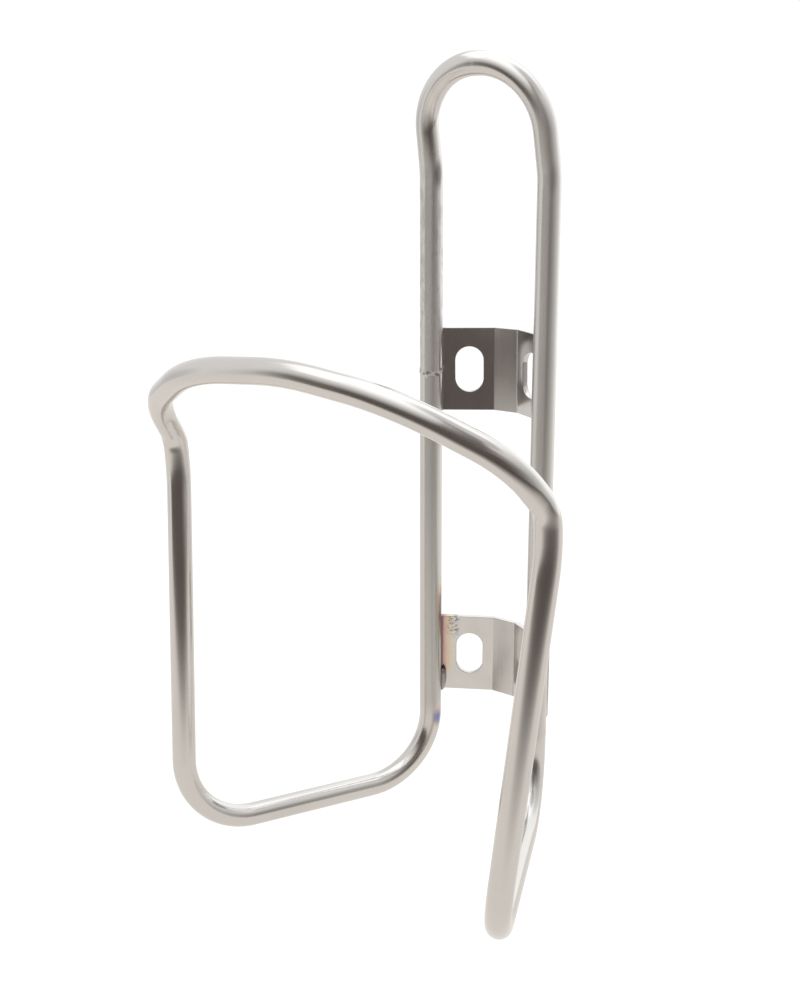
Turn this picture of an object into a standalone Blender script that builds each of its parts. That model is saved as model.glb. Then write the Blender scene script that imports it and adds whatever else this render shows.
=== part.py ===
"""Water bottle cage: one bent stainless tube, butt welded into a closed loop, with two
folded mounting tabs welded behind its uprights.

Frame: +Z up along the uprights, -Y towards the bottle, +Y towards the bicycle frame.
X = 0 is the cage's plane of symmetry. The origin is on that plane, level with the
uprights' centrelines and halfway between the two tabs. All sizes are in metres.
"""
import math

import bmesh
import bpy
from mathutils import Matrix, Vector

MM = 0.001
WORLD_UP = Vector((0, 0, 1))

# Gap between pieces that touch or are welded in the real cage.
GAP = 0.3 * MM

# Tube: thin-walled stainless, nominally 3/16 inch.
TUBE_RADIUS = 2.35 * MM
TUBE_WALL = 0.5 * MM
TUBE_BEVEL_RESOLUTION = 4
BEND_STEP = math.radians(9)
SMOOTH_ANGLE = math.radians(35)

# Centreline of the right half of the loop, in millimetres: each corner is
# (x, y, z, bend radius). The left half is its mirror image.
UPRIGHT_X = 13.4
ARCH_CORNER = (12.9, -4.1, 92.1, 12.9)
ARCH_KINK = (UPRIGHT_X, 0.0, 71.9, 26.0)
REAR_CORNER = (UPRIGHT_X, 0.0, -60.2, 14.5)
FRONT_CORNER = (36.9, -54.1, -57.3, 14.8)
SIDE_LEAN = (41.4, -46.0, 16.2, 40.0)
SIDE_KINK = (41.3, -46.6, 23.8, 9.0)
HOOP_CORNER = (38.9, -53.5, 32.3, 16.2)
HOOP_SHOULDER = (21.8, -61.6, 41.6, 32.0)
HOOP_FRONT = (0.0, -62.0, 43.8, 60.0)

# Butt weld, on the left upright beside the upper tab.
SEAM_Z = 31.0 * MM
SEAM_BEAD_MINOR = 0.42 * MM
SEAM_BEAD_MAJOR = 2.2 * MM
SEAM_BEAD_SEGMENTS = (28, 10)
SEAM_HALF_OPENING = SEAM_BEAD_MINOR + GAP

# Mounting tabs: a sheet creased twice, leaving a plain middle and a slotted flat each side.
BOSS_SPACING = 64.0 * MM
TAB_ANGLE = math.radians(29)
TAB_THICKNESS = 1.2 * MM
TAB_HEIGHT = 17.4 * MM
TAB_CREASE_X = 2.8 * MM
TAB_CREASE_RADIUS = 0.8 * MM
TAB_CREASE_SEGMENTS = 4
TAB_CORNER_RADIUS = 1.2 * MM
TAB_CORNER_SEGMENTS = 4
SLOT_WIDTH = 5.8 * MM
SLOT_LENGTH = 9.4 * MM
SLOT_FROM_CREASE = 5.05 * MM
SLOT_SEGMENTS = 32
SLOT_CUTTER_DEPTH = 7.2 * MM

# A tab stops this far short of the line where its flat would touch the upright's back.
TAB_END_SHORTFALL = 0.8 * MM

# Weld beads: one behind each upright, on a tab's end face. The lower tab also has one in the
# wedge between each upright and its inner face, near its bottom edge.
END_WELD_RADIUS = 0.45 * MM
END_WELD_LENGTH = 13.0 * MM
INNER_WELD_RADIUS = 0.75 * MM
INNER_WELD_LENGTH = 5.2 * MM
WELD_SEGMENTS = (12, 9)

# Base colour and roughness of each finish.
TUBE_FINISH = ((0.62, 0.60, 0.57, 1.0), 0.22)
TAB_FINISH = ((0.55, 0.53, 0.50, 1.0), 0.30)
WELD_FINISH = ((0.50, 0.47, 0.43, 1.0), 0.40)

SIDES = {"right": 1, "left": -1}
TAB_CENTRES = {"upper": BOSS_SPACING / 2, "lower": -BOSS_SPACING / 2}


def clear_scene():
    for obj in list(bpy.data.objects):
        bpy.data.objects.remove(obj, do_unlink=True)


def make_collection(name):
    collection = bpy.data.collections.new(name)
    bpy.context.scene.collection.children.link(collection)
    return collection


def make_material(name, finish):
    colour, roughness = finish
    material = bpy.data.materials.new(name)
    material.use_nodes = True
    shader = material.node_tree.nodes["Principled BSDF"]
    shader.inputs["Base Color"].default_value = colour
    shader.inputs["Roughness"].default_value = roughness
    shader.inputs["Metallic"].default_value = 1.0
    return material


def add_object(name, data, collection, material=None):
    obj = bpy.data.objects.new(name, data)
    collection.objects.link(obj)
    if material:
        data.materials.append(material)
    return obj


def mesh_from_bmesh(name, bm):
    bmesh.ops.recalc_face_normals(bm, faces=bm.faces)
    mesh = bpy.data.meshes.new(name)
    bm.to_mesh(mesh)
    bm.free()
    return mesh


def smooth(mesh):
    mesh.shade_smooth()
    mesh.set_sharp_from_angle(angle=SMOOTH_ANGLE)


# ---- the bent tube ----------------------------------------------------------------------

def loop_corners():
    """Corners of the whole loop, from the left upright's seam over the arch and round."""
    right = [ARCH_CORNER, ARCH_KINK, REAR_CORNER, FRONT_CORNER, SIDE_LEAN, SIDE_KINK,
             HOOP_CORNER, HOOP_SHOULDER]
    left = [(-x, y, z, radius) for x, y, z, radius in right]
    corners = [left[1], left[0]] + right + [HOOP_FRONT] + left[:1:-1]
    return [(Vector((x, y, z)) * MM, radius * MM) for x, y, z, radius in corners]


def bend_points(before, corner, after, radius):
    """Points along the arc that rounds one corner of the centreline."""
    incoming = (corner - before).normalized()
    outgoing = (after - corner).normalized()
    turn = incoming.angle(outgoing)
    setback = radius * math.tan(turn / 2)
    start = corner - incoming * setback
    inward = (outgoing - incoming * outgoing.dot(incoming)).normalized()
    steps = max(2, math.ceil(turn / BEND_STEP))
    points = []
    for step in range(steps + 1):
        angle = turn * step / steps
        along = incoming * math.sin(angle)
        across = inward * (1 - math.cos(angle))
        points.append(start + (along + across) * radius)
    return points


def tube_centreline():
    seam = Vector((-UPRIGHT_X * MM, 0, SEAM_Z))
    first = seam + WORLD_UP * SEAM_HALF_OPENING
    last = seam - WORLD_UP * SEAM_HALF_OPENING
    corners = loop_corners()
    stops = [first] + [point for point, _ in corners] + [last]
    points = [first]
    for index, (corner, radius) in enumerate(corners):
        points += bend_points(stops[index], corner, stops[index + 2], radius)
    points.append(last)
    return points


def make_tube(collection, material):
    points = tube_centreline()
    curve = bpy.data.curves.new("cage_tube", "CURVE")
    curve.dimensions = "3D"
    curve.bevel_depth = TUBE_RADIUS
    curve.bevel_resolution = TUBE_BEVEL_RESOLUTION
    curve.use_fill_caps = False
    spline = curve.splines.new("POLY")
    spline.points.add(len(points) - 1)
    for spline_point, point in zip(spline.points, points):
        spline_point.co = (*point, 1.0)
    spline.use_smooth = True
    tube = add_object("cage_tube", curve, collection, material)
    wall = tube.modifiers.new("wall", "SOLIDIFY")
    wall.thickness = TUBE_WALL
    wall.offset = -1.0
    return tube


def make_seam_bead(collection, material):
    around, section = SEAM_BEAD_SEGMENTS
    bpy.ops.mesh.primitive_torus_add(
        major_radius=SEAM_BEAD_MAJOR, minor_radius=SEAM_BEAD_MINOR,
        major_segments=around, minor_segments=section, location=(-UPRIGHT_X * MM, 0, SEAM_Z))
    bead = bpy.context.object
    bead.name = "butt_weld_bead"
    bead.data.name = "butt_weld_bead"
    bead.data.materials.append(material)
    for owner in list(bead.users_collection):
        owner.objects.unlink(bead)
    collection.objects.link(bead)
    smooth(bead.data)
    return bead


# ---- the folded tabs --------------------------------------------------------------------

class TabProfile:
    """Plan of a tab's inner face. Its flats lie tangent to the backs of the uprights."""

    def __init__(self):
        self.normal = Vector((math.sin(TAB_ANGLE), math.cos(TAB_ANGLE)))
        self.along = Vector((math.cos(TAB_ANGLE), -math.sin(TAB_ANGLE)))
        self.upright = Vector((UPRIGHT_X * MM, 0))
        face = self.normal.dot(self.upright) + TUBE_RADIUS + GAP
        middle_y = (face - self.normal.x * TAB_CREASE_X) / self.normal.y
        self.crease = Vector((TAB_CREASE_X, middle_y))
        contact = self.upright + self.normal * (TUBE_RADIUS + GAP)
        self.end = contact - self.along * TAB_END_SHORTFALL
        self.slot = self.crease + self.along * SLOT_FROM_CREASE

    def crease_arc(self):
        """The rounded right crease, from the middle to the flat."""
        setback = TAB_CREASE_RADIUS * math.tan(TAB_ANGLE / 2)
        centre = self.crease - Vector((setback, TAB_CREASE_RADIUS))
        arc = []
        for step in range(TAB_CREASE_SEGMENTS + 1):
            angle = TAB_ANGLE * step / TAB_CREASE_SEGMENTS
            offset = Vector((math.sin(angle), math.cos(angle))) * TAB_CREASE_RADIUS
            arc.append(centre + offset)
        return arc

    def points(self):
        """From the left end, round both creases, to the right end."""
        right = self.crease_arc() + [self.end]
        left = [Vector((-point.x, point.y)) for point in reversed(right)]
        return left + right


def tab_sheet(profile):
    """The inner face of a tab, centred on z = 0, with rounded corners."""
    bm = bmesh.new()
    bottom = [bm.verts.new((p.x, p.y, -TAB_HEIGHT / 2)) for p in profile.points()]
    edges = [bm.edges.new(pair) for pair in zip(bottom, bottom[1:])]
    raised = bmesh.ops.extrude_edge_only(bm, edges=edges)["geom"]
    top = [item for item in raised if isinstance(item, bmesh.types.BMVert)]
    bmesh.ops.translate(bm, verts=top, vec=(0, 0, TAB_HEIGHT))
    corners = [vert for vert in bm.verts if len(vert.link_edges) == 2]
    bmesh.ops.bevel(bm, geom=corners, offset=TAB_CORNER_RADIUS,
                    segments=TAB_CORNER_SEGMENTS, profile=0.5, affect="VERTICES")
    for face in bm.faces:
        face.normal_update()
        if face.normal.y < 0:
            face.normal_flip()
    mesh = bpy.data.meshes.new("tab")
    bm.to_mesh(mesh)
    bm.free()
    return mesh


def slot_cutter(name, profile, side, height, collection):
    """A round-ended prism through one flat of a tab."""
    bm = bmesh.new()
    bmesh.ops.create_cone(bm, cap_ends=True, segments=SLOT_SEGMENTS, radius1=SLOT_WIDTH / 2,
                          radius2=SLOT_WIDTH / 2, depth=SLOT_CUTTER_DEPTH)
    lie_along_y = Matrix.Rotation(math.radians(90), 3, "X")
    straddle_middle = Matrix.Rotation(math.pi / SLOT_SEGMENTS, 3, "Y")
    bmesh.ops.rotate(bm, verts=bm.verts, matrix=straddle_middle @ lie_along_y)
    stretch = (SLOT_LENGTH - SLOT_WIDTH) / 2
    for vert in bm.verts:
        vert.co.z += math.copysign(stretch, vert.co.z)
    cutter = add_object(name, mesh_from_bmesh(name, bm), collection)
    cutter.location = (side * profile.slot.x, profile.slot.y, height)
    cutter.rotation_euler = (0, 0, -side * TAB_ANGLE)
    cutter.hide_render = True
    cutter.display_type = "WIRE"
    return cutter


def make_tab(label, height, profile, collection, cutters, material):
    tab = add_object(f"{label}_tab", tab_sheet(profile), collection, material)
    tab.location = (0, 0, height)
    sheet = tab.modifiers.new("sheet", "SOLIDIFY")
    sheet.thickness = TAB_THICKNESS
    sheet.offset = 1.0
    for side_name, side in SIDES.items():
        name = f"{label}_{side_name}_slot"
        slot = tab.modifiers.new(name, "BOOLEAN")
        slot.operation = "DIFFERENCE"
        slot.solver = "EXACT"
        slot.object = slot_cutter(name, profile, side, height, cutters)
    return tab


# ---- tab welds --------------------------------------------------------------------------

def off_upright(profile, radius, sideways):
    """Plan position beside the upright, clear of it by the gap, for a bead of this radius."""
    from_upright = TUBE_RADIUS + GAP + radius
    behind = math.sqrt(from_upright ** 2 - sideways ** 2)
    return profile.upright + profile.normal * behind + profile.along * sideways


def end_weld_place(profile):
    """Against the tab's end face, clear of it by the gap."""
    sideways = END_WELD_RADIUS + GAP - TAB_END_SHORTFALL
    return off_upright(profile, END_WELD_RADIUS, sideways)


def inner_weld_place(profile):
    """In the wedge between the upright and the tab's inner face."""
    from_upright = TUBE_RADIUS + GAP + INNER_WELD_RADIUS
    behind = TUBE_RADIUS - INNER_WELD_RADIUS
    sideways = -math.sqrt(from_upright ** 2 - behind ** 2)
    return off_upright(profile, INNER_WELD_RADIUS, sideways)


def make_bead(name, place, side, height, radius, length, collection, material):
    """A round-ended bead standing along Z."""
    around, rings = WELD_SEGMENTS
    bm = bmesh.new()
    bmesh.ops.create_uvsphere(bm, u_segments=around, v_segments=rings, radius=radius)
    stretch = length / 2 - radius
    for vert in bm.verts:
        vert.co.z += math.copysign(stretch, vert.co.z)
    mesh = mesh_from_bmesh(name, bm)
    smooth(mesh)
    bead = add_object(name, mesh, collection, material)
    bead.location = (side * place.x, place.y, height)
    return bead


def make_end_welds(label, height, profile, collection, material):
    for side_name, side in SIDES.items():
        make_bead(f"{label}_tab_{side_name}_outer_weld", end_weld_place(profile), side, height,
                  END_WELD_RADIUS, END_WELD_LENGTH, collection, material)


def make_inner_welds(label, profile, collection, material):
    height = TAB_CENTRES[label] - TAB_HEIGHT / 2 + INNER_WELD_LENGTH / 2
    for side_name, side in SIDES.items():
        make_bead(f"{label}_tab_{side_name}_inner_weld", inner_weld_place(profile), side, height,
                  INNER_WELD_RADIUS, INNER_WELD_LENGTH, collection, material)


def main():
    clear_scene()
    parts = make_collection("water_bottle_cage")
    cutters = make_collection("cutters")
    steel = make_material("tube_steel", TUBE_FINISH)
    sheet_steel = make_material("tab_steel", TAB_FINISH)
    weld_steel = make_material("weld_steel", WELD_FINISH)
    make_tube(parts, steel)
    make_seam_bead(parts, weld_steel)
    profile = TabProfile()
    for label, height in TAB_CENTRES.items():
        make_tab(label, height, profile, parts, cutters, sheet_steel)
        make_end_welds(label, height, profile, parts, weld_steel)
    make_inner_welds("lower", profile, parts, weld_steel)


main()
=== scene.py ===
"""Looks of the water bottle cage: polished and drawn stainless tube, pressed tabs, weld beads,
heat tint, a plain white studio and the camera.

Metres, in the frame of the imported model: +Z up along the uprights, -Y towards the bottle.
"""
import math

import bmesh
import bpy
import numpy as np
from mathutils import Matrix, Vector


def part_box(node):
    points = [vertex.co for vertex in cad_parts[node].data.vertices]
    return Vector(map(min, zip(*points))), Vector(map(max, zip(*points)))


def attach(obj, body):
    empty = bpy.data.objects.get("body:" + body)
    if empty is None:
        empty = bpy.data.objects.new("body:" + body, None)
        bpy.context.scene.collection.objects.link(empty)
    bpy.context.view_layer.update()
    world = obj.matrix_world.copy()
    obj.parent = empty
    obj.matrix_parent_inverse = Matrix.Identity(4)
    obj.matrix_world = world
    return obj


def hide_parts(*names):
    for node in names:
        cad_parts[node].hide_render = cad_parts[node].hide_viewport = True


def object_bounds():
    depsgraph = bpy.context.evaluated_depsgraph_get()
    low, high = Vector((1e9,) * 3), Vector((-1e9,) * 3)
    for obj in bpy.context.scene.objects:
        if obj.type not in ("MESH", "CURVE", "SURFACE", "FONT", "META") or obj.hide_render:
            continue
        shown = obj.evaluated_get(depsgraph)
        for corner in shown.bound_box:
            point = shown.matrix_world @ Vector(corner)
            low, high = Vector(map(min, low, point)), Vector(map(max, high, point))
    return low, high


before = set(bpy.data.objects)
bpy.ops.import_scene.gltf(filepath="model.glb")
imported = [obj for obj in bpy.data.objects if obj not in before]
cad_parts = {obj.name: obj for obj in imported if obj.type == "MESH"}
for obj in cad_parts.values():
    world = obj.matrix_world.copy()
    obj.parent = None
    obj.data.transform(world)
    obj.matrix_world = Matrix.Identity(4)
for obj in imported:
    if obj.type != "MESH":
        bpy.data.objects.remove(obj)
cad_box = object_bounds()

MM = 0.001
BODY = "root"


# ---- sizes read from the frame ----------------------------------------------------------

def box_centre(node):
    low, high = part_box(node)
    return (low + high) / 2


def box_size(node):
    low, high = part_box(node)
    return high - low


SEAM = box_centre("butt_weld_bead")
SEAM_RAISE = Vector((0, 0, 0.0008))   # the bead sits this much above the middle of its node
UPRIGHT_X = abs(SEAM.x)
TUBE_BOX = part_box("cage_tube")
TUBE_RADIUS = TUBE_BOX[1].y
TAB_HEIGHT = box_size("upper_tab").z
TAB_HALF_WIDTH = box_size("upper_tab").x / 2
TAB_Z = {"upper": box_centre("upper_tab").z, "lower": box_centre("lower_tab").z}
SIDES = {"right": 1, "left": -1}

# Bends of the right half of the tube, in millimetres, as the CAD part has them:
# (x, y, z, bend radius). The left half is the mirror image.
ARCH_CORNER = (12.9, -4.1, 92.1, 12.9)
ARCH_KINK = (UPRIGHT_X / MM, 0.0, 71.9, 26.0)
REAR_CORNER = (UPRIGHT_X / MM, 0.0, -60.2, 14.5)
FRONT_CORNER = (36.9, -54.1, -57.3, 14.8)
SIDE_LEAN = (41.4, -46.0, 16.2, 40.0)
SIDE_KINK = (41.3, -46.6, 23.8, 9.0)
HOOP_CORNER = (38.9, -53.5, 32.3, 16.2)
HOOP_SHOULDER = (21.8, -61.6, 41.6, 32.0)
HOOP_FRONT = (0.0, -62.0, 43.8, 60.0)
KINK_HEIGHTS = (ARCH_KINK[2], SIDE_KINK[2])

# Tab section, as in the CAD part.
TAB_ANGLE = math.radians(29)
TAB_THICKNESS = 1.2 * MM
TAB_CREASE_X = 2.8 * MM
TAB_CREASE_RADIUS = 0.8 * MM
TAB_CORNER_RADIUS = 1.2 * MM
SLOT_WIDTH = 5.8 * MM
SLOT_LENGTH = 9.4 * MM
SLOT_FROM_CREASE = 5.05 * MM
TAB_EDGE_BREAK = 0.14 * MM
EDGE_LIMIT = math.radians(50)
FIT_GAP = 0.03 * MM
ROUNDING_STEPS = 8
SLOT_SIDES = 64
CUTTER_DEPTH = 6 * TAB_THICKNESS

# Tube mesh.
TUBE_SIDES = 40
STRAIGHT_STEP = 1.2 * MM
BEND_STEP = math.radians(3)
LEAST_BEND_STEPS = 4
BEND_FLATTENING = 0.035     # share of the radius, in a bend as tight as FLATTENED_BEND
FLATTENED_BEND = 13 * MM
KINK_DENT = 0.06
SEAM_SWELL = 0.045
SEAM_SWELL_REACH = 1.5 * MM
TUBE_UV = "along_and_round"

# The upper tab of this cage sits slightly askew on its uprights.
ASKEW_TURN = math.radians(1.25)
ASKEW_TILT = math.radians(1.0)
ASKEW_DROP = 0.25 * MM

# Seam bead: its line on the tube in metres, then how far it rises and spreads in millimetres,
# plain and where it is lumpy.
SEAM_LINE_RADIUS = TUBE_RADIUS * 1.04 - 0.06 * MM
SEAM_RISE = 0.015
SEAM_LUMP_RISE = 0.10
SEAM_SPREAD = 0.40
SEAM_LUMP_SPREAD = 0.35
SEAM_STATIONS = 160
SEAM_SECTION = 16

# Tab beads: how far they are pulled to the upright, how blunt their ends are, the ends' radius
# as a share of the middle's, and the depth of their ripples.
BEAD_PULL = 0.55
BEAD_END_POWER = 2.2
BEAD_TIP = 0.05
BEAD_RIPPLE = 0.12 * MM
BEAD_STATIONS = 72
BEAD_SECTION = 20


def add_piece(name, data, slot, *nodes):
    """A visible piece, riding on the rigid cage and standing for CAD nodes."""
    piece = bpy.data.objects.new(name, data)
    bpy.context.scene.collection.objects.link(piece)
    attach(piece, BODY)
    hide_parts(*nodes)
    return piece


# ---- the tube ---------------------------------------------------------------------------

def loop_corners():
    """Corner, bend radius and dent of every bend round the loop, in metres."""
    right = [ARCH_KINK, REAR_CORNER, FRONT_CORNER, SIDE_LEAN, SIDE_KINK, HOOP_CORNER,
             HOOP_SHOULDER]
    left = [(-x, y, z, radius) for x, y, z, radius in reversed(right)]
    arch_left = (-ARCH_CORNER[0],) + ARCH_CORNER[1:]
    corners = [ARCH_CORNER] + right + [HOOP_FRONT] + left + [arch_left]
    return [(np.array((x, y, z)) * MM, radius * MM, KINK_DENT if z in KINK_HEIGHTS else 0.0)
            for x, y, z, radius in corners]


def unit(vector):
    return vector / np.linalg.norm(vector)


class Centreline:
    """The closed line through the bends: points, and at each point the side towards the
    centre of the bend, how tightly it is bent and how deep its inner side is dented."""

    def __init__(self):
        self.points = []
        self.inward = []
        self.bend = []
        self.dent = []
        corners = loop_corners()
        count = len(corners)
        for i in range(count):
            after = corners[(i + 1) % count][0]
            self.add_bend(corners[i - 1][0], *corners[i], after)
        self.fill_straights()

    def add_bend(self, before, corner, radius, dent, after):
        incoming = unit(corner - before)
        outgoing = unit(after - corner)
        turn = math.acos(np.clip(incoming @ outgoing, -1, 1))
        start = corner - incoming * radius * math.tan(turn / 2)
        inward = unit(outgoing - incoming * (outgoing @ incoming))
        steps = max(LEAST_BEND_STEPS, math.ceil(turn / BEND_STEP))
        for step in range(steps + 1):
            angle = turn * step / steps
            along = incoming * math.sin(angle) + inward * (1 - math.cos(angle))
            swell = math.sin(math.pi * step / steps)
            self.points.append(start + along * radius)
            self.inward.append(inward * math.cos(angle) - incoming * math.sin(angle))
            self.bend.append(swell ** 2 * FLATTENED_BEND / radius)
            self.dent.append(swell ** 2 * dent)

    def fill_straights(self):
        """Adds points along the straight runs between the bends."""
        rows = []
        count = len(self.points)
        for i in range(count):
            here, there = self.points[i], self.points[(i + 1) % count]
            rows.append((here, self.inward[i], self.bend[i], self.dent[i]))
            extra = int(np.linalg.norm(there - here) / STRAIGHT_STEP)
            if self.bend[i] == 0 and extra > 1:
                for step in range(1, extra):
                    between = here + (there - here) * step / extra
                    rows.append((between, self.inward[i], 0.0, 0.0))
        self.points, self.inward, self.bend, self.dent = (np.array(row) for row in zip(*rows))
        ahead = np.roll(self.points, -1, axis=0) - self.points
        reached = np.cumsum(np.linalg.norm(ahead, axis=1))
        self.length = reached[-1]
        self.distance = np.concatenate([[0], reached[:-1]])

    def frames(self):
        """Unit vectors across the line that turn as little as possible, and meet at the ends."""
        ahead = np.roll(self.points, -1, axis=0) - np.roll(self.points, 1, axis=0)
        tangents = ahead / np.linalg.norm(ahead, axis=1)[:, None]
        side = unit(np.cross(tangents[0], (0.0, 1.0, 0.0)))
        sides = [side]
        for here in np.roll(tangents, -1, axis=0):
            side = unit(side - here * (side @ here))
            sides.append(side)
        other = np.cross(tangents[0], sides[0])
        twist = math.atan2(sides[-1] @ other, sides[-1] @ sides[0])
        frames = []
        for tangent, side, distance in zip(tangents, sides, self.distance):
            back = -twist * distance / self.length
            across = np.cross(tangent, side)
            frames.append((side * math.cos(back) + across * math.sin(back),
                           across * math.cos(back) - side * math.sin(back)))
        return frames


def seam_swell(point):
    """How far the tube's wall is pushed out beside the butt weld, as a share of its radius."""
    near = np.linalg.norm(point - np.array(SEAM + SEAM_RAISE)) / SEAM_SWELL_REACH
    return SEAM_SWELL * math.exp(-near ** 2)


def make_tube():
    line = Centreline()
    bm = bmesh.new()
    along = bm.verts.layers.float_vector.new("along_tube")
    uv = bm.loops.layers.uv.new(TUBE_UV)
    rings = []
    rows = zip(line.points, line.inward, line.bend, line.dent, line.distance, line.frames())
    for point, inward, bend, dent, distance, (side, across) in rows:
        ring = []
        swell = seam_swell(point)
        for k in range(TUBE_SIDES):
            angle = 2 * math.pi * k / TUBE_SIDES
            out = side * math.cos(angle) + across * math.sin(angle)
            towards = out @ inward
            flattened = BEND_FLATTENING * bend * (0.5 - 1.5 * towards ** 2)
            reach = 1 + flattened + swell
            reach -= dent * max(0.0, towards) ** 3
            vert = bm.verts.new(point + out * TUBE_RADIUS * reach)
            vert[along] = (distance, TUBE_RADIUS * math.cos(angle), TUBE_RADIUS * math.sin(angle))
            ring.append(vert)
        rings.append(ring)
    starts = list(line.distance / line.length) + [1.0]
    for i, (ring, following) in enumerate(zip(rings, rings[1:] + rings[:1])):
        for k in range(TUBE_SIDES):
            j = (k + 1) % TUBE_SIDES
            face = bm.faces.new((ring[k], following[k], following[j], ring[j]))
            corners = ((i, k), (i + 1, k), (i + 1, k + 1), (i, k + 1))
            for loop, (station, turn) in zip(face.loops, corners):
                loop[uv].uv = (starts[station], turn / TUBE_SIDES)
            face.smooth = True
    mesh = bpy.data.meshes.new("bent_tube")
    bm.to_mesh(mesh)
    bm.free()
    return add_piece("bent_tube", mesh, "tube_steel", "cage_tube")


# ---- the tabs ---------------------------------------------------------------------------

def tab_profile():
    """Plan of a tab's inner face from its left end to its right end, close on the uprights, and
    the middle of the right slot."""
    normal = Vector((math.sin(TAB_ANGLE), math.cos(TAB_ANGLE)))
    along = Vector((math.cos(TAB_ANGLE), -math.sin(TAB_ANGLE)))
    face = normal.x * UPRIGHT_X + TUBE_RADIUS + FIT_GAP
    crease = Vector((TAB_CREASE_X, (face - normal.x * TAB_CREASE_X) / normal.y))
    outer_corner = TAB_HALF_WIDTH - normal.x * TAB_THICKNESS
    end = crease + along * (outer_corner - crease.x) / along.x
    setback = TAB_CREASE_RADIUS * math.tan(TAB_ANGLE / 2)
    centre = crease - Vector((setback, TAB_CREASE_RADIUS))
    right = []
    for step in range(ROUNDING_STEPS + 1):
        angle = TAB_ANGLE * step / ROUNDING_STEPS
        right.append(centre + Vector((math.sin(angle), math.cos(angle))) * TAB_CREASE_RADIUS)
    right.append(end)
    left = [Vector((-point.x, point.y)) for point in reversed(right)]
    return left + right, crease + along * SLOT_FROM_CREASE


def slot_cutter(slot, side, height):
    """A bar with round ends, through one side flat of a tab."""
    bm = bmesh.new()
    bmesh.ops.create_cone(bm, cap_ends=True, segments=SLOT_SIDES, radius1=SLOT_WIDTH / 2,
                          radius2=SLOT_WIDTH / 2, depth=CUTTER_DEPTH)
    for face in bm.faces:
        face.smooth = True
    lie = Matrix.Rotation(math.pi / SLOT_SIDES, 3, "Y") @ Matrix.Rotation(math.pi / 2, 3, "X")
    bmesh.ops.rotate(bm, verts=bm.verts, matrix=lie)
    for vert in bm.verts:
        vert.co.z += math.copysign((SLOT_LENGTH - SLOT_WIDTH) / 2, vert.co.z)
    place = Matrix.Translation((side * slot.x, slot.y, height))
    bm.transform(place @ Matrix.Rotation(-side * TAB_ANGLE, 4, "Z"))
    mesh = bpy.data.meshes.new("slot_cutter")
    bm.to_mesh(mesh)
    bm.free()
    cutter = bpy.data.objects.new("slot_cutter", mesh)
    bpy.context.scene.collection.objects.link(cutter)
    return cutter


def askew(label):
    """Where a tab really sits: the upper one is turned on its uprights and tilted."""
    if label != "upper":
        return Matrix.Identity(4)
    normals_meet = Vector((0, -UPRIGHT_X / math.tan(TAB_ANGLE), 0))
    turn = Matrix.Translation(normals_meet) @ Matrix.Rotation(ASKEW_TURN, 4, "Z")
    turn = turn @ Matrix.Translation(-normals_meet)
    hinge = Vector((-UPRIGHT_X, 0, TAB_Z[label]))
    lowered = hinge - Vector((0, 0, ASKEW_DROP))
    tilt = Matrix.Translation(lowered) @ Matrix.Rotation(-ASKEW_TILT, 4, "Y")
    return tilt @ Matrix.Translation(-hinge) @ turn


def tab_sheet(label):
    """The inner face of a tab, creased and with round corners, without thickness."""
    points, _ = tab_profile()
    bm = bmesh.new()
    bottom = [bm.verts.new((p.x, p.y, TAB_Z[label] - TAB_HEIGHT / 2)) for p in points]
    edges = [bm.edges.new(pair) for pair in zip(bottom, bottom[1:])]
    raised = bmesh.ops.extrude_edge_only(bm, edges=edges)["geom"]
    top = [item for item in raised if isinstance(item, bmesh.types.BMVert)]
    bmesh.ops.translate(bm, verts=top, vec=(0, 0, TAB_HEIGHT))
    corners = [vert for vert in bm.verts if len(vert.link_edges) == 2]
    bmesh.ops.bevel(bm, geom=corners, offset=TAB_CORNER_RADIUS, segments=ROUNDING_STEPS,
                    profile=0.5, affect="VERTICES")
    for face in bm.faces:
        face.normal_update()
        if face.normal.y < 0:
            face.normal_flip()
        face.smooth = True
    mesh = bpy.data.meshes.new(f"{label}_tab_sheet")
    bm.to_mesh(mesh)
    bm.free()
    return mesh


def apply_modifiers(obj):
    """Turns the evaluated shape into the object's own mesh."""
    graph = bpy.context.evaluated_depsgraph_get()
    mesh = bpy.data.meshes.new_from_object(obj.evaluated_get(graph))
    mesh.materials.clear()
    obj.modifiers.clear()
    obj.data = mesh
    return mesh


def make_tab(label):
    tab = add_piece(f"{label}_tab_sheet", tab_sheet(label), "tab_steel", f"{label}_tab")
    sheet = tab.modifiers.new("sheet", "SOLIDIFY")
    sheet.thickness = TAB_THICKNESS
    sheet.offset = 1.0
    _, slot = tab_profile()
    cutters = [slot_cutter(slot, side, TAB_Z[label]) for side in SIDES.values()]
    for cutter in cutters:
        cut = tab.modifiers.new("slot", "BOOLEAN")
        cut.object = cutter
    edge = tab.modifiers.new("broken_edges", "BEVEL")
    edge.width = TAB_EDGE_BREAK
    edge.segments = 2
    edge.limit_method = "ANGLE"
    edge.angle_limit = EDGE_LIMIT
    shading = tab.modifiers.new("flat_faces_stay_flat", "WEIGHTED_NORMAL")
    shading.keep_sharp = False
    apply_modifiers(tab).transform(askew(label))
    for cutter in cutters:
        bpy.data.objects.remove(cutter)
    return tab


# ---- weld beads -------------------------------------------------------------------------

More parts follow.
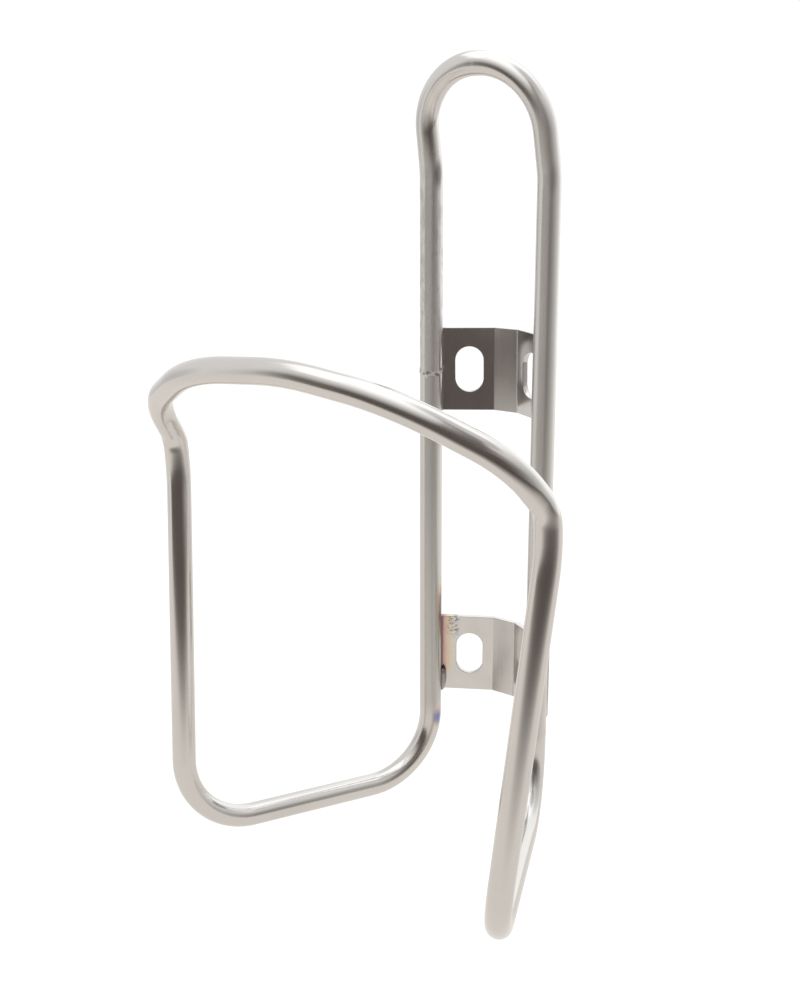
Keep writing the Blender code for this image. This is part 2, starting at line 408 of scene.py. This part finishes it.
def lathe(name, rings, capped, node):
    """A smooth closed body through rings of points: a tube with ends, or a closed ring."""
    bm = bmesh.new()
    rows = [[bm.verts.new(point) for point in ring] for ring in rings]
    following = rows[1:] if capped else rows[1:] + rows[:1]
    for row, ahead in zip(rows, following):
        for k in range(len(row)):
            j = (k + 1) % len(row)
            bm.faces.new((row[k], row[j], ahead[j], ahead[k]))
    if capped:
        bm.faces.new(rows[0])
        bm.faces.new(rows[-1])
    bmesh.ops.recalc_face_normals(bm, faces=bm.faces)
    mesh = bpy.data.meshes.new(name)
    bm.to_mesh(mesh)
    bm.free()
    mesh.shade_smooth()
    return add_piece(name, mesh, "weld_steel", node)


def make_seam_bead():
    """The bead round the butt weld: dressed flush by hand, with a few lumps left standing."""
    rings = []
    for i in range(SEAM_STATIONS):
        turn = 2 * math.pi * i / SEAM_STATIONS
        out = Vector((math.cos(turn), math.sin(turn), 0))
        lump = max(0.0, math.sin(9 * turn + 1.0) * math.sin(4 * turn + 0.4))
        wander = (0.25 * math.sin(2 * turn + 0.6) + 0.15 * math.sin(5 * turn)) * MM
        centre = SEAM + SEAM_RAISE + out * SEAM_LINE_RADIUS
        centre.z += wander
        rise = (SEAM_RISE + SEAM_LUMP_RISE * lump) * MM
        spread = (SEAM_SPREAD + SEAM_LUMP_SPREAD * lump) * MM
        ring = []
        for k in range(SEAM_SECTION):
            angle = 2 * math.pi * k / SEAM_SECTION
            ring.append(centre + out * rise * math.cos(angle)
                        + Vector((0, 0, spread * math.sin(angle))))
        rings.append(ring)
    return lathe("seam_bead", rings, False, "butt_weld_bead")


def make_tab_bead(node, label, side):
    """A low bead along Z between an upright and its tab, drawn close to the tube."""
    low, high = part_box(node)
    centre = (low + high) / 2
    radius = (high.x - low.x) / 2
    length = high.z - low.z
    upright = Vector((SIDES[side] * UPRIGHT_X, 0, centre.z))
    closer = (upright - centre).normalized() * BEAD_PULL * MM
    place = askew(label)
    rings = []
    for i in range(BEAD_STATIONS + 1):
        t = i / BEAD_STATIONS
        end = math.sqrt(max(0.0, 1 - abs(2 * t - 1) ** BEAD_END_POWER))
        lump = 1 + 0.05 * math.sin(7.3 * t + radius / MM) + 0.02 * math.sin(17 * t)
        reach = radius * max(BEAD_TIP, end) * lump
        middle = Vector((centre.x, centre.y, low.z + t * length)) + closer
        ring = []
        for k in range(BEAD_SECTION):
            angle = 2 * math.pi * k / BEAD_SECTION
            swirl = Vector((math.cos(angle), math.sin(angle), 0)) * reach
            swirl.z = BEAD_RIPPLE * math.cos(angle)
            ring.append(place @ (middle + swirl))
        rings.append(ring)
    return lathe(f"{node}_bead", rings, True, node)


# ---- materials --------------------------------------------------------------------------

class Shader:
    """A Principled material and short ways to add nodes to it."""

    def __init__(self, name, roughness, colour):
        self.material = bpy.data.materials.new(name)
        self.material.use_nodes = True
        self.tree = self.material.node_tree
        self.principled = self.tree.nodes["Principled BSDF"]
        self.principled.inputs["Metallic"].default_value = 1.0
        self.principled.inputs["Roughness"].default_value = roughness
        self.principled.inputs["Base Color"].default_value = (*colour, 1.0)

    def node(self, kind, inputs=(), **settings):
        node = self.tree.nodes.new(kind)
        for key, value in settings.items():
            setattr(node, key, value)
        for key, value in dict(inputs).items():
            self.set(node.inputs[key], value)
        return node

    def set(self, socket, value):
        if isinstance(value, bpy.types.NodeSocket):
            self.tree.links.new(value, socket)
        else:
            socket.default_value = value

    def maths(self, operation, *values):
        node = self.node("ShaderNodeMath", operation=operation)
        for socket, value in zip(node.inputs, values):
            self.set(socket, value)
        return node.outputs[0]

    def noise(self, vector, scale, detail=3.0, roughness=0.5):
        inputs = {"Vector": vector, "Scale": scale, "Detail": detail, "Roughness": roughness}
        return self.node("ShaderNodeTexNoise", inputs).outputs["Fac"]

    def stretch(self, vector, scale):
        inputs = {"Vector": vector, "Scale": scale}
        return self.node("ShaderNodeMapping", inputs).outputs["Vector"]

    def ramp(self, value, *stops):
        """A colour ramp through (position, colour or grey) stops."""
        node = self.node("ShaderNodeValToRGB", {"Fac": value})
        elements = node.color_ramp.elements
        while len(elements) < len(stops):
            elements.new(0.5)
        for element, (position, colour) in zip(elements, stops):
            grey = isinstance(colour, (int, float))
            element.position = position
            element.color = (colour, colour, colour, 1) if grey else (*colour, 1)
        return node.outputs["Color"]

    def mix(self, factor, first, second):
        node = self.node("ShaderNodeMix", data_type="RGBA")
        self.set(node.inputs["Factor"], factor)
        self.set(node.inputs["A"], first)
        self.set(node.inputs["B"], second)
        return node.outputs["Result"]

    def between(self, value, low, high, out_low=0.0, out_high=1.0, kind="SMOOTHSTEP"):
        """A step from out_low at low to out_high at high, smooth unless kind is LINEAR."""
        inputs = {"Value": value, "From Min": low, "From Max": high,
                  "To Min": out_low, "To Max": out_high}
        node = self.node("ShaderNodeMapRange", inputs, interpolation_type=kind)
        return node.outputs["Result"]


STEEL = (0.60, 0.578, 0.550)
TUBE_TONES = ((0.25, (0.58, 0.56, 0.535)), (0.75, (0.625, 0.602, 0.573)))
SHEET_TONES = ((0.3, (0.57, 0.55, 0.53)), (0.7, (0.61, 0.59, 0.565)))
WELD_TONES = ((0.3, (0.30, 0.29, 0.28)), (0.7, (0.46, 0.44, 0.42)))
# Seam bead colours: painted dark shade, then painted highlights of its lumps, spread by noise.
SEAM_SHADE_AND_HIGHLIGHT_TONES = ((0.38, (0.30, 0.29, 0.28)), (0.48, (0.74, 0.715, 0.68)))
WORN_STEEL = (0.36, 0.345, 0.33, 1)
# Colour of the painted shade in the kink dents.
DENT_SHADE_STEEL = (0.12, 0.11, 0.11, 1)
SCRATCHED_SHEET = (0.20, 0.20, 0.21, 1)

# Heat tint from the weld outwards: share of its reach, colour.
TINT_COLOURS = ((0.0, (0.48, 0.46, 0.45)), (0.40, (0.36, 0.38, 0.52)), (0.52, (0.16, 0.22, 0.55)),
                (0.62, (0.42, 0.24, 0.30)), (0.76, (0.62, 0.46, 0.27)), (0.92, (0.62, 0.56, 0.44)))
SEAM_TINT_COLOURS = ((0.0, (0.10, 0.08, 0.10)), (0.34, (0.16, 0.10, 0.16)),
                     (0.50, (0.46, 0.22, 0.24)), (0.66, (0.60, 0.46, 0.30)),
                     (0.85, (0.61, 0.56, 0.46)))
BLUE_SPOT_COLOURS = ((0.0, (0.10, 0.13, 0.36)), (0.35, (0.20, 0.24, 0.48)),
                     (0.55, (0.42, 0.36, 0.42)), (0.75, (0.58, 0.50, 0.40)),
                     (0.9, (0.61, 0.57, 0.50)))

# Painted shade in the dents the bending tool left on the inner side of the kinks below the arch:
# place, strength.
KINK_DENT_SHADES = (((0.95 * TUBE_RADIUS - UPRIGHT_X, -0.0008, 0.0715), 0.7),
              ((0.70 * TUBE_RADIUS + UPRIGHT_X, -0.0017, 0.0716), 0.2))
# Reach, core and flatness of the painted shade in the kink dents.
DENT_SHADE_REACH = 0.0014
DENT_SHADE_CORE = 0.0003
DENT_SHADE_FLATNESS = 0.35

# Heat tint on the uprights: places, then how far each is drawn out along Z (1 is not at all),
# its reach, its strength and its colours.
BLUE_SPOT = (0.96 * TUBE_RADIUS - UPRIGHT_X, -0.0004, TAB_Z["lower"] - 0.0140)
PURPLE_LINE = (0.98 * TUBE_RADIUS - UPRIGHT_X, 0.0009, TAB_Z["lower"] + 0.0115)
RIGHT_LOW_SPOT = (TUBE_RADIUS * 0.5 + UPRIGHT_X, 0.0020, TAB_Z["lower"] - 0.010)
RIGHT_TAB_SPOT = (UPRIGHT_X, 0.0012, TAB_Z["upper"])
LEFT_TAB_SPOT = (-UPRIGHT_X, 0.0012, TAB_Z["upper"])
TINT_SPOTS = ((BLUE_SPOT, 0.6, 0.0019, 0.8, BLUE_SPOT_COLOURS),
              (PURPLE_LINE, 0.22, 0.0020, 0.85, SEAM_TINT_COLOURS),
              (RIGHT_LOW_SPOT, 1.0, 0.0028, 0.4, TINT_COLOURS),
              (RIGHT_TAB_SPOT, 1.0, 0.0028, 0.3, TINT_COLOURS),
              (LEFT_TAB_SPOT, 1.0, 0.0028, 0.3, TINT_COLOURS))
TINT_WAVE_SCALE = 500.0
TINT_WAVE = 0.5
TAB_TINT_REACH = 0.0046
TAB_TINT_STRENGTH = 0.75
TAB_WAVE_SCALE = 350.0
TAB_WAVE = 0.16

# Stretch of the noises, per metre along the tube and the two ways across it.
DRAWN_LINES = (40, 2600, 2600)
TOOL_RINGS = (5000, 60, 60)
TUBE_CLOUDS = (60, 150, 150)
SCUFF_GRAIN = (420, 1100, 1100)
# The same for the tabs, along X, Y and Z.
ROLLED_GRAIN = (2500, 2500, 60)
SCRATCH_GRAIN = (1500, 1500, 2200)
TAB_CLOUD_SCALE = 250.0
WELD_CLOUD_SCALE = 900.0
# Between which values of its noise a scuff or a scratch fades in.
SCUFF_BAND = (0.42, 0.62)
SCRATCH_BAND = (0.48, 0.56)

# Where the tube is satin and not polished: the rear uprights, from low to high on each side.
SATIN_BOTTOM = (-0.050, -0.042)
SATIN_TOP = (0.092, 0.082)
SATIN_LEFT_DROP = 0.011
REAR_SIDE = (-0.012, -0.005)
LEFT_SIDE = (-0.009, -0.011)
SCUFFED_FROM = (0.030, 0.040)
SCUFFED_TO = (0.078, 0.066)

# Roughness, each extra one added where its name says, and depth of the drawn lines and rings.
POLISHED_ROUGHNESS = 0.16
SATIN_EXTRA = 0.16
TUBE_CLOUD_EXTRA = 0.05
SCUFF_EXTRA = 0.12
SCUFF_DARKNESS = 0.35
SATIN_ANISOTROPY = 0.9
RINGS_TO_LINES = 0.6
BUMP_STRENGTH = 0.18
BUMP_DEPTH = 0.00003
SHEET_ROUGHNESS = 0.15
ROLLED_EXTRA = 0.06
SCRATCH_EXTRA = 0.25
SCRATCH_DARKNESS = 0.75
WELD_ROUGHNESS = 0.3
WELD_CLOUD_EXTRA = 0.2
SEAM_EXTRA = 0.22

# The scratched patch beside the lower tab's left slot, and the height of its heat tint.
PATCH_RIGHT = (-0.0088, -0.0100)
PATCH_LEFT = (-0.0118, -0.0112)
PATCH_BOTTOM = (TAB_Z["lower"] + 0.003, TAB_Z["lower"] + 0.006)
BURNT_BOTTOM = (TAB_Z["lower"] - 0.007, TAB_Z["lower"] - 0.003)
BELOW_UPPER_TAB = (-0.015, -0.02)
SEAM_ZONE = (0.0045, 0.0035)


def heat_tint(shader, colour, nearness, reach, wave, strength, colours):
    """Colours burnt into the steel beside a weld: blue or purple nearest, then straw."""
    distance = shader.maths("ADD", shader.maths("DIVIDE", nearness, reach), wave)
    amount = shader.maths("MULTIPLY", shader.between(distance, 1.0, 0.8), strength)
    return shader.mix(amount, colour, shader.ramp(distance, *colours))


def distance_from(shader, place, spot, flatness):
    """How far a point is from a spot, with Z counted less."""
    offset = shader.node("ShaderNodeVectorMath", {0: place, 1: spot}, operation="SUBTRACT")
    flattened = shader.stretch(offset.outputs["Vector"], (1.0, 1.0, flatness))
    reached = shader.node("ShaderNodeVectorMath", {0: flattened}, operation="LENGTH")
    return reached.outputs["Value"]


def tube_material():
    """Drawn stainless: polished in front, satin on the uprights, scuffed above the seam."""
    shader = Shader("drawn_stainless", POLISHED_ROUGHNESS, STEEL)
    along = shader.node("ShaderNodeAttribute", attribute_name="along_tube").outputs["Vector"]
    lines = shader.noise(shader.stretch(along, DRAWN_LINES), 1.0, 2.0)
    rings = shader.noise(shader.stretch(along, TOOL_RINGS), 1.0, 2.0)
    cloud = shader.noise(shader.stretch(along, TUBE_CLOUDS), 1.0, 3.0)
    scuffs = shader.noise(shader.stretch(along, SCUFF_GRAIN), 1.0, 4.0, 0.6)
    place = shader.node("ShaderNodeNewGeometry").outputs["Position"]
    x, y, z = shader.node("ShaderNodeSeparateXYZ", {"Vector": place}).outputs
    left = shader.between(x, *LEFT_SIDE)
    lowered = shader.maths("MULTIPLY_ADD", left, SATIN_LEFT_DROP, z)
    upright = shader.maths("MULTIPLY", shader.between(z, *SATIN_BOTTOM),
                           shader.between(lowered, *SATIN_TOP))
    rear = shader.maths("MULTIPLY", shader.between(y, *REAR_SIDE), upright)
    worn = shader.maths("MULTIPLY", shader.between(z, *SCUFFED_FROM),
                        shader.between(z, *SCUFFED_TO))
    worn = shader.maths("MULTIPLY", worn, shader.maths("MULTIPLY", left, rear))
    scuffed = shader.maths("MULTIPLY", worn, shader.between(scuffs, *SCUFF_BAND))
    rough = shader.maths("MULTIPLY_ADD", rear, SATIN_EXTRA, POLISHED_ROUGHNESS)
    rough = shader.maths("MULTIPLY_ADD", cloud, TUBE_CLOUD_EXTRA, rough)
    rough = shader.maths("MULTIPLY_ADD", scuffed, SCUFF_EXTRA, rough)
    shader.set(shader.principled.inputs["Roughness"], rough)
    anisotropy = shader.maths("MULTIPLY", rear, SATIN_ANISOTROPY)
    shader.set(shader.principled.inputs["Anisotropic"], anisotropy)
    tangent = shader.node("ShaderNodeTangent", direction_type="UV_MAP", uv_map=TUBE_UV)
    shader.set(shader.principled.inputs["Tangent"], tangent.outputs["Tangent"])
    tone = shader.ramp(cloud, *TUBE_TONES)
    tone = shader.mix(shader.maths("MULTIPLY", scuffed, SCUFF_DARKNESS), tone, WORN_STEEL)
    # Painted shade: darkens the dents on the inner side of the kinks below the arch.
    for dent_shade, strength in KINK_DENT_SHADES:
        reached = distance_from(shader, place, dent_shade, DENT_SHADE_FLATNESS)
        near = shader.between(reached, DENT_SHADE_REACH, DENT_SHADE_CORE)
        tone = shader.mix(shader.maths("MULTIPLY", near, strength), tone, DENT_SHADE_STEEL)
    wave = shader.noise(place, TINT_WAVE_SCALE)
    wave = shader.maths("MULTIPLY_ADD", wave, TINT_WAVE, -TINT_WAVE / 2)
    for spot, flatness, reach, strength, colours in TINT_SPOTS:
        reached = distance_from(shader, place, spot, flatness)
        tone = heat_tint(shader, tone, reached, reach, wave, strength, colours)
    shader.set(shader.principled.inputs["Base Color"], tone)
    height = shader.maths("MULTIPLY_ADD", rings, RINGS_TO_LINES, lines)
    bump = shader.node("ShaderNodeBump", {"Strength": BUMP_STRENGTH, "Distance": BUMP_DEPTH,
                                          "Height": height})
    shader.set(shader.principled.inputs["Normal"], bump.outputs["Normal"])
    return shader.material


def tab_material():
    """Bright rolled sheet, scratched and burnt purple to straw beside the lower left weld."""
    shader = Shader("rolled_sheet_stainless", SHEET_ROUGHNESS, STEEL)
    place = shader.node("ShaderNodeNewGeometry").outputs["Position"]
    grain = shader.noise(shader.stretch(place, ROLLED_GRAIN), 1.0, 2.0)
    cloud = shader.noise(place, TAB_CLOUD_SCALE, 3.0)
    rough = shader.maths("MULTIPLY_ADD", grain, ROLLED_EXTRA, SHEET_ROUGHNESS)
    x, _, z = shader.node("ShaderNodeSeparateXYZ", {"Vector": place}).outputs
    speckle = shader.noise(shader.stretch(place, SCRATCH_GRAIN), 1.0, 2.0, 0.7)
    lower_tab = shader.between(z, *BELOW_UPPER_TAB)
    patch = shader.maths("MULTIPLY", shader.between(x, *PATCH_RIGHT),
                         shader.between(x, *PATCH_LEFT))
    patch = shader.maths("MULTIPLY", patch, shader.between(z, *PATCH_BOTTOM))
    patch = shader.maths("MULTIPLY", patch, lower_tab)
    scratched = shader.maths("MULTIPLY", patch, shader.between(speckle, *SCRATCH_BAND))
    rough = shader.maths("MULTIPLY_ADD", scratched, SCRATCH_EXTRA, rough)
    shader.set(shader.principled.inputs["Roughness"], rough)
    tone = shader.ramp(cloud, *SHEET_TONES)
    darkened = shader.maths("MULTIPLY", scratched, SCRATCH_DARKNESS)
    tone = shader.mix(darkened, tone, SCRATCHED_SHEET)
    in_height = shader.maths("MULTIPLY", lower_tab, shader.between(z, *BURNT_BOTTOM))
    burnt = shader.maths("MULTIPLY", in_height, TAB_TINT_STRENGTH)
    wave = shader.noise(place, TAB_WAVE_SCALE)
    wave = shader.maths("MULTIPLY_ADD", wave, TAB_WAVE, -TAB_WAVE / 2)
    from_end = shader.maths("ADD", x, TAB_HALF_WIDTH)
    tone = heat_tint(shader, tone, from_end, TAB_TINT_REACH, wave, burnt, SEAM_TINT_COLOURS)
    shader.set(shader.principled.inputs["Base Color"], tone)
    return shader.material


def weld_material():
    """Grey tab welds; the seam on the upright gets painted highlights and painted dark shade of
    its lumps.
    """
    shader = Shader("weld_bead", WELD_ROUGHNESS, STEEL)
    place = shader.node("ShaderNodeNewGeometry").outputs["Position"]
    from_seam = distance_from(shader, place, tuple(SEAM), 1.0)
    dressed = shader.between(from_seam, *SEAM_ZONE)
    cloud = shader.noise(place, WELD_CLOUD_SCALE, 4.0)
    grey = shader.ramp(cloud, *WELD_TONES)
    # Painted highlights and painted shade of the seam's lumps, set by noise.
    seam_shade_and_highlights = shader.ramp(cloud, *SEAM_SHADE_AND_HIGHLIGHT_TONES)
    shader.set(shader.principled.inputs["Base Color"], shader.mix(dressed, grey, seam_shade_and_highlights))
    rough = shader.maths("MULTIPLY_ADD", cloud, WELD_CLOUD_EXTRA, WELD_ROUGHNESS)
    rough = shader.maths("MULTIPLY_ADD", dressed, SEAM_EXTRA, rough)
    shader.set(shader.principled.inputs["Roughness"], rough)
    return shader.material


# ---- studio -----------------------------------------------------------------------------

CAMERA_PLACE = Vector((0.1416, -0.2242, 0.0880))
CAMERA_AZIMUTH = math.radians(36.04)
CAMERA_TILT = math.radians(17.18)
CAMERA_ROLL = math.radians(-0.285)
SENSOR = 36.0
FOCAL_SHARE = 1340.9 / 1002      # focal length as a share of the sensor
NEAREST_SEEN = 0.005

# Floor: its place and size, and its shade by distance from the middle of the cage in metres.
FLOOR_DROP = 0.0012
FLOOR_SIZE = 1.2
SHADE_AZIMUTH = 50.0
SHADE_CURVE = 0.295 / 95 ** 2
FLOOR_SHADE = ((0.10, 0.03), (0.12, 0.14), (0.14, 0.30), (0.16, 0.46), (0.18, 0.61),
               (0.20, 0.74), (0.225, 0.85), (0.26, 0.94), (0.305, 0.98), (0.355, 1.0))

# Tent: a dome round the cage. Azimuths and elevations are in degrees, seen from the middle of
# the cage, each pair being where something begins and where it is full.
TENT_RADIUS = 0.4
OPENING_LEFT = (-41.0, -31.0)
OPENING_RIGHT = (145.0, 50.0)
ROOM_DARKNESS = ((10, 1.0), (16, 0.90), (21, 0.70), (26.5, 0.42), (34, 0.16), (48.5, 0.0))
STAND_LEAN = 0.86
STAND_AZIMUTH = 11.0
STAND_LEFT = (-6.0, 0.0)
STAND_FADE = 5.0
STAND_SPREAD = (24.0, 36.0, 88.0, 21.0)
STAND_TOP = (64.0, 52.0)
BOOM_PLACE = (0.2, -0.035, 0.345)
BOOM_SIZE = (0.19, 0.08)
BOOM_DARKNESS = 0.55
LAMP_LEFT_EDGE = (-62.0, -40.0, 55.0, 44.5)
LAMP_LEFT_SOFTNESS = (-1.0, 1.5)
LAMP_LEFT_END = (-28.0, -36.0)
LAMP_FRONT_START = (-36.0, -28.0)
LAMP_FRONT_HEIGHT = (30.5, 66.0)
BACKDROP = (125.0, 150.0, 0.0, 0.55)
GREY_WALL_LEFT = (-112.0, -80.0)
GREY_WALL_RIGHT = (-48.0, -66.0)
GREY_WALL_HEIGHT = (22.0, 2.0)

# Glow of each surface.
WARM_WHITE = (1.0, 0.965, 0.92, 1)
PLAIN_WHITE = (1.0, 1.0, 1.0, 1)
CLEAR_WHITE = (1.08, 1.08, 1.08, 1)
WORLD_WHITE = (1.1, 1.1, 1.1, 1)
LAMP_WHITE = (1.75, 1.79, 1.82, 1)
WALL_GREY = (0.74, 0.74, 0.75, 1)
DIM_ROOM = (0.13, 0.105, 0.095, 1)
DIM_FLOOR = (0.085, 0.070, 0.065, 1)
CLOTH_COLOUR = (0.02, 0.02, 0.02)
CLOTH_ROUGHNESS = 0.9


def make_camera():
    data = bpy.data.cameras.new("camera")
    data.sensor_width = SENSOR
    data.lens = SENSOR * FOCAL_SHARE
    data.clip_start = NEAREST_SEEN
    camera = bpy.data.objects.new("camera", data)
    bpy.context.scene.collection.objects.link(camera)
    turn = Matrix.Rotation(CAMERA_AZIMUTH, 4, "Z")
    tilt = Matrix.Rotation(math.pi / 2 - CAMERA_TILT, 4, "X")
    roll = Matrix.Rotation(CAMERA_ROLL, 4, "Z")
    camera.matrix_world = Matrix.Translation(CAMERA_PLACE) @ turn @ tilt @ roll
    bpy.context.scene.camera = camera


def make_glowing(name, mesh):
    """A staging surface with an emission shader that other pieces mirror."""
    obj = bpy.data.objects.new(name, mesh)
    bpy.context.scene.collection.objects.link(obj)
    shader = Shader(f"{name}_white", CLOTH_ROUGHNESS, CLOTH_COLOUR)
    shader.principled.inputs["Metallic"].default_value = 0.0
    shader.principled.inputs["Specular IOR Level"].default_value = 0.0
    shader.principled.inputs["Emission Strength"].default_value = 1.0
    shader.material.cycles.emission_sampling = "NONE"
    mesh.materials.append(shader.material)
    return obj, shader


def azimuth_of(shader, x, y):
    """Degrees round from the bottle side of the cage, towards its right."""
    away = shader.maths("MULTIPLY", y, -1.0)
    return shader.maths("MULTIPLY", shader.maths("ARCTAN2", x, away), math.degrees(1))


def make_floor():
    """The white sheet the cage stands on, falling into shade a little in front of it."""
    corners = ((-FLOOR_SIZE, -FLOOR_SIZE), (FLOOR_SIZE, -FLOOR_SIZE),
               (FLOOR_SIZE, FLOOR_SIZE), (-FLOOR_SIZE, FLOOR_SIZE))
    mesh = bpy.data.meshes.new("floor")
    mesh.from_pydata([(x, y, 0) for x, y in corners], [], [(0, 1, 2, 3)])
    floor, shader = make_glowing("floor", mesh)
    floor.location.z = cad_box[0][2] - FLOOR_DROP
    place = shader.node("ShaderNodeNewGeometry").outputs["Position"]
    x, y, _ = shader.node("ShaderNodeSeparateXYZ", {"Vector": place}).outputs
    level = shader.node("ShaderNodeCombineXYZ", {"X": x, "Y": y})
    reach = shader.node("ShaderNodeVectorMath", {0: level.outputs["Vector"]}, operation="LENGTH")
    aside = shader.maths("SUBTRACT", azimuth_of(shader, x, y), SHADE_AZIMUTH)
    held_back = shader.maths("MULTIPLY", shader.maths("MULTIPLY", aside, aside), SHADE_CURVE)
    shade = shader.ramp(shader.maths("SUBTRACT", reach.outputs["Value"], held_back),
                        *FLOOR_SHADE)
    path = shader.node("ShaderNodeLightPath").outputs["Is Camera Ray"]
    seen = shader.mix(shade, WARM_WHITE, DIM_FLOOR)
    glow = shader.mix(path, seen, CLEAR_WHITE)
    shader.set(shader.principled.inputs["Emission Color"], glow)


def make_tent():
    """A white tent, brighter above, open in front to a dim room, with a dark leaning stand."""
    bm = bmesh.new()
    bmesh.ops.create_icosphere(bm, subdivisions=4, radius=TENT_RADIUS)
    mesh = bpy.data.meshes.new("tent")
    bm.to_mesh(mesh)
    bm.free()
    tent, shader = make_glowing("tent", mesh)
    tent.visible_camera = False
    place = shader.node("ShaderNodeNewGeometry").outputs["Position"]
    x, y, z = shader.node("ShaderNodeSeparateXYZ", {"Vector": place}).outputs
    azimuth = azimuth_of(shader, x, y)
    rise = shader.maths("DIVIDE", z, TENT_RADIUS)
    elevation = shader.maths("MULTIPLY", shader.maths("ARCSINE", rise), math.degrees(1))

    opening = shader.maths("MULTIPLY", shader.between(azimuth, *OPENING_LEFT),
                           shader.between(azimuth, *OPENING_RIGHT))
    height = shader.maths("MULTIPLY_ADD", elevation, 1 / 180, 0.5)
    fall = shader.ramp(height, *((0.5 + angle / 180, dark) for angle, dark in ROOM_DARKNESS))
    room = shader.maths("MULTIPLY", opening, fall)

    leaning = shader.maths("MULTIPLY_ADD", elevation, STAND_LEAN, STAND_AZIMUTH)
    beside = shader.maths("SUBTRACT", azimuth, leaning)
    spread = shader.between(elevation, *STAND_SPREAD, kind="LINEAR")
    fading = shader.maths("DIVIDE", shader.maths("SUBTRACT", beside, STAND_FADE), spread)
    stand = shader.maths("MULTIPLY", shader.between(beside, *STAND_LEFT),
                          shader.between(fading, 1.0, 0.0, kind="LINEAR"))
    stand = shader.maths("MULTIPLY", stand, shader.between(elevation, *STAND_TOP))
    boom = shader.node("ShaderNodeVectorMath", {0: place, 1: BOOM_PLACE}, operation="DISTANCE")
    boom = shader.between(boom.outputs["Value"], *BOOM_SIZE)
    boom = shader.maths("MULTIPLY", boom, BOOM_DARKNESS)
    dark = shader.maths("MAXIMUM", shader.maths("MAXIMUM", room, stand), boom)

    lamp_edge = shader.between(azimuth, *LAMP_LEFT_EDGE, kind="LINEAR")
    past_edge = shader.maths("SUBTRACT", elevation, lamp_edge)
    lamp_left = shader.maths("MULTIPLY", shader.between(past_edge, *LAMP_LEFT_SOFTNESS),
                             shader.between(azimuth, *LAMP_LEFT_END))
    lamp_front = shader.maths("MULTIPLY", shader.between(azimuth, *LAMP_FRONT_START),
                              shader.between(elevation, *LAMP_FRONT_HEIGHT))
    backdrop = shader.between(shader.maths("ABSOLUTE", azimuth), *BACKDROP)
    top = shader.maths("MAXIMUM", shader.maths("MAXIMUM", lamp_left, lamp_front), backdrop)
    plain = shader.maths("MULTIPLY", shader.between(azimuth, *GREY_WALL_LEFT),
                         shader.between(azimuth, *GREY_WALL_RIGHT))
    plain = shader.maths("MULTIPLY", plain, shader.between(elevation, *GREY_WALL_HEIGHT))
    wall = shader.mix(plain, PLAIN_WHITE, WALL_GREY)
    cloth = shader.mix(top, wall, LAMP_WHITE)
    glow = shader.mix(dark, cloth, DIM_ROOM)
    shader.set(shader.principled.inputs["Emission Color"], glow)


def make_world():
    """The plain white background."""
    world = bpy.data.worlds.new("white")
    bpy.context.scene.world = world
    world.use_nodes = True
    world.node_tree.nodes["Background"].inputs["Color"].default_value = WORLD_WHITE
    bpy.context.scene.view_settings.view_transform = "Standard"


def main():
    make_camera()
    make_world()
    make_floor()
    make_tent()
    make_tube().data.materials.append(tube_material())
    sheet = tab_material()
    for label in TAB_Z:
        make_tab(label).data.materials.append(sheet)
    weld = weld_material()
    make_seam_bead().data.materials.append(weld)
    for side in SIDES:
        for label, kind in (("upper", "outer"), ("lower", "outer"), ("lower", "inner")):
            bead = make_tab_bead(f"{label}_tab_{side}_{kind}_weld", label, side)
            bead.data.materials.append(weld)


main()
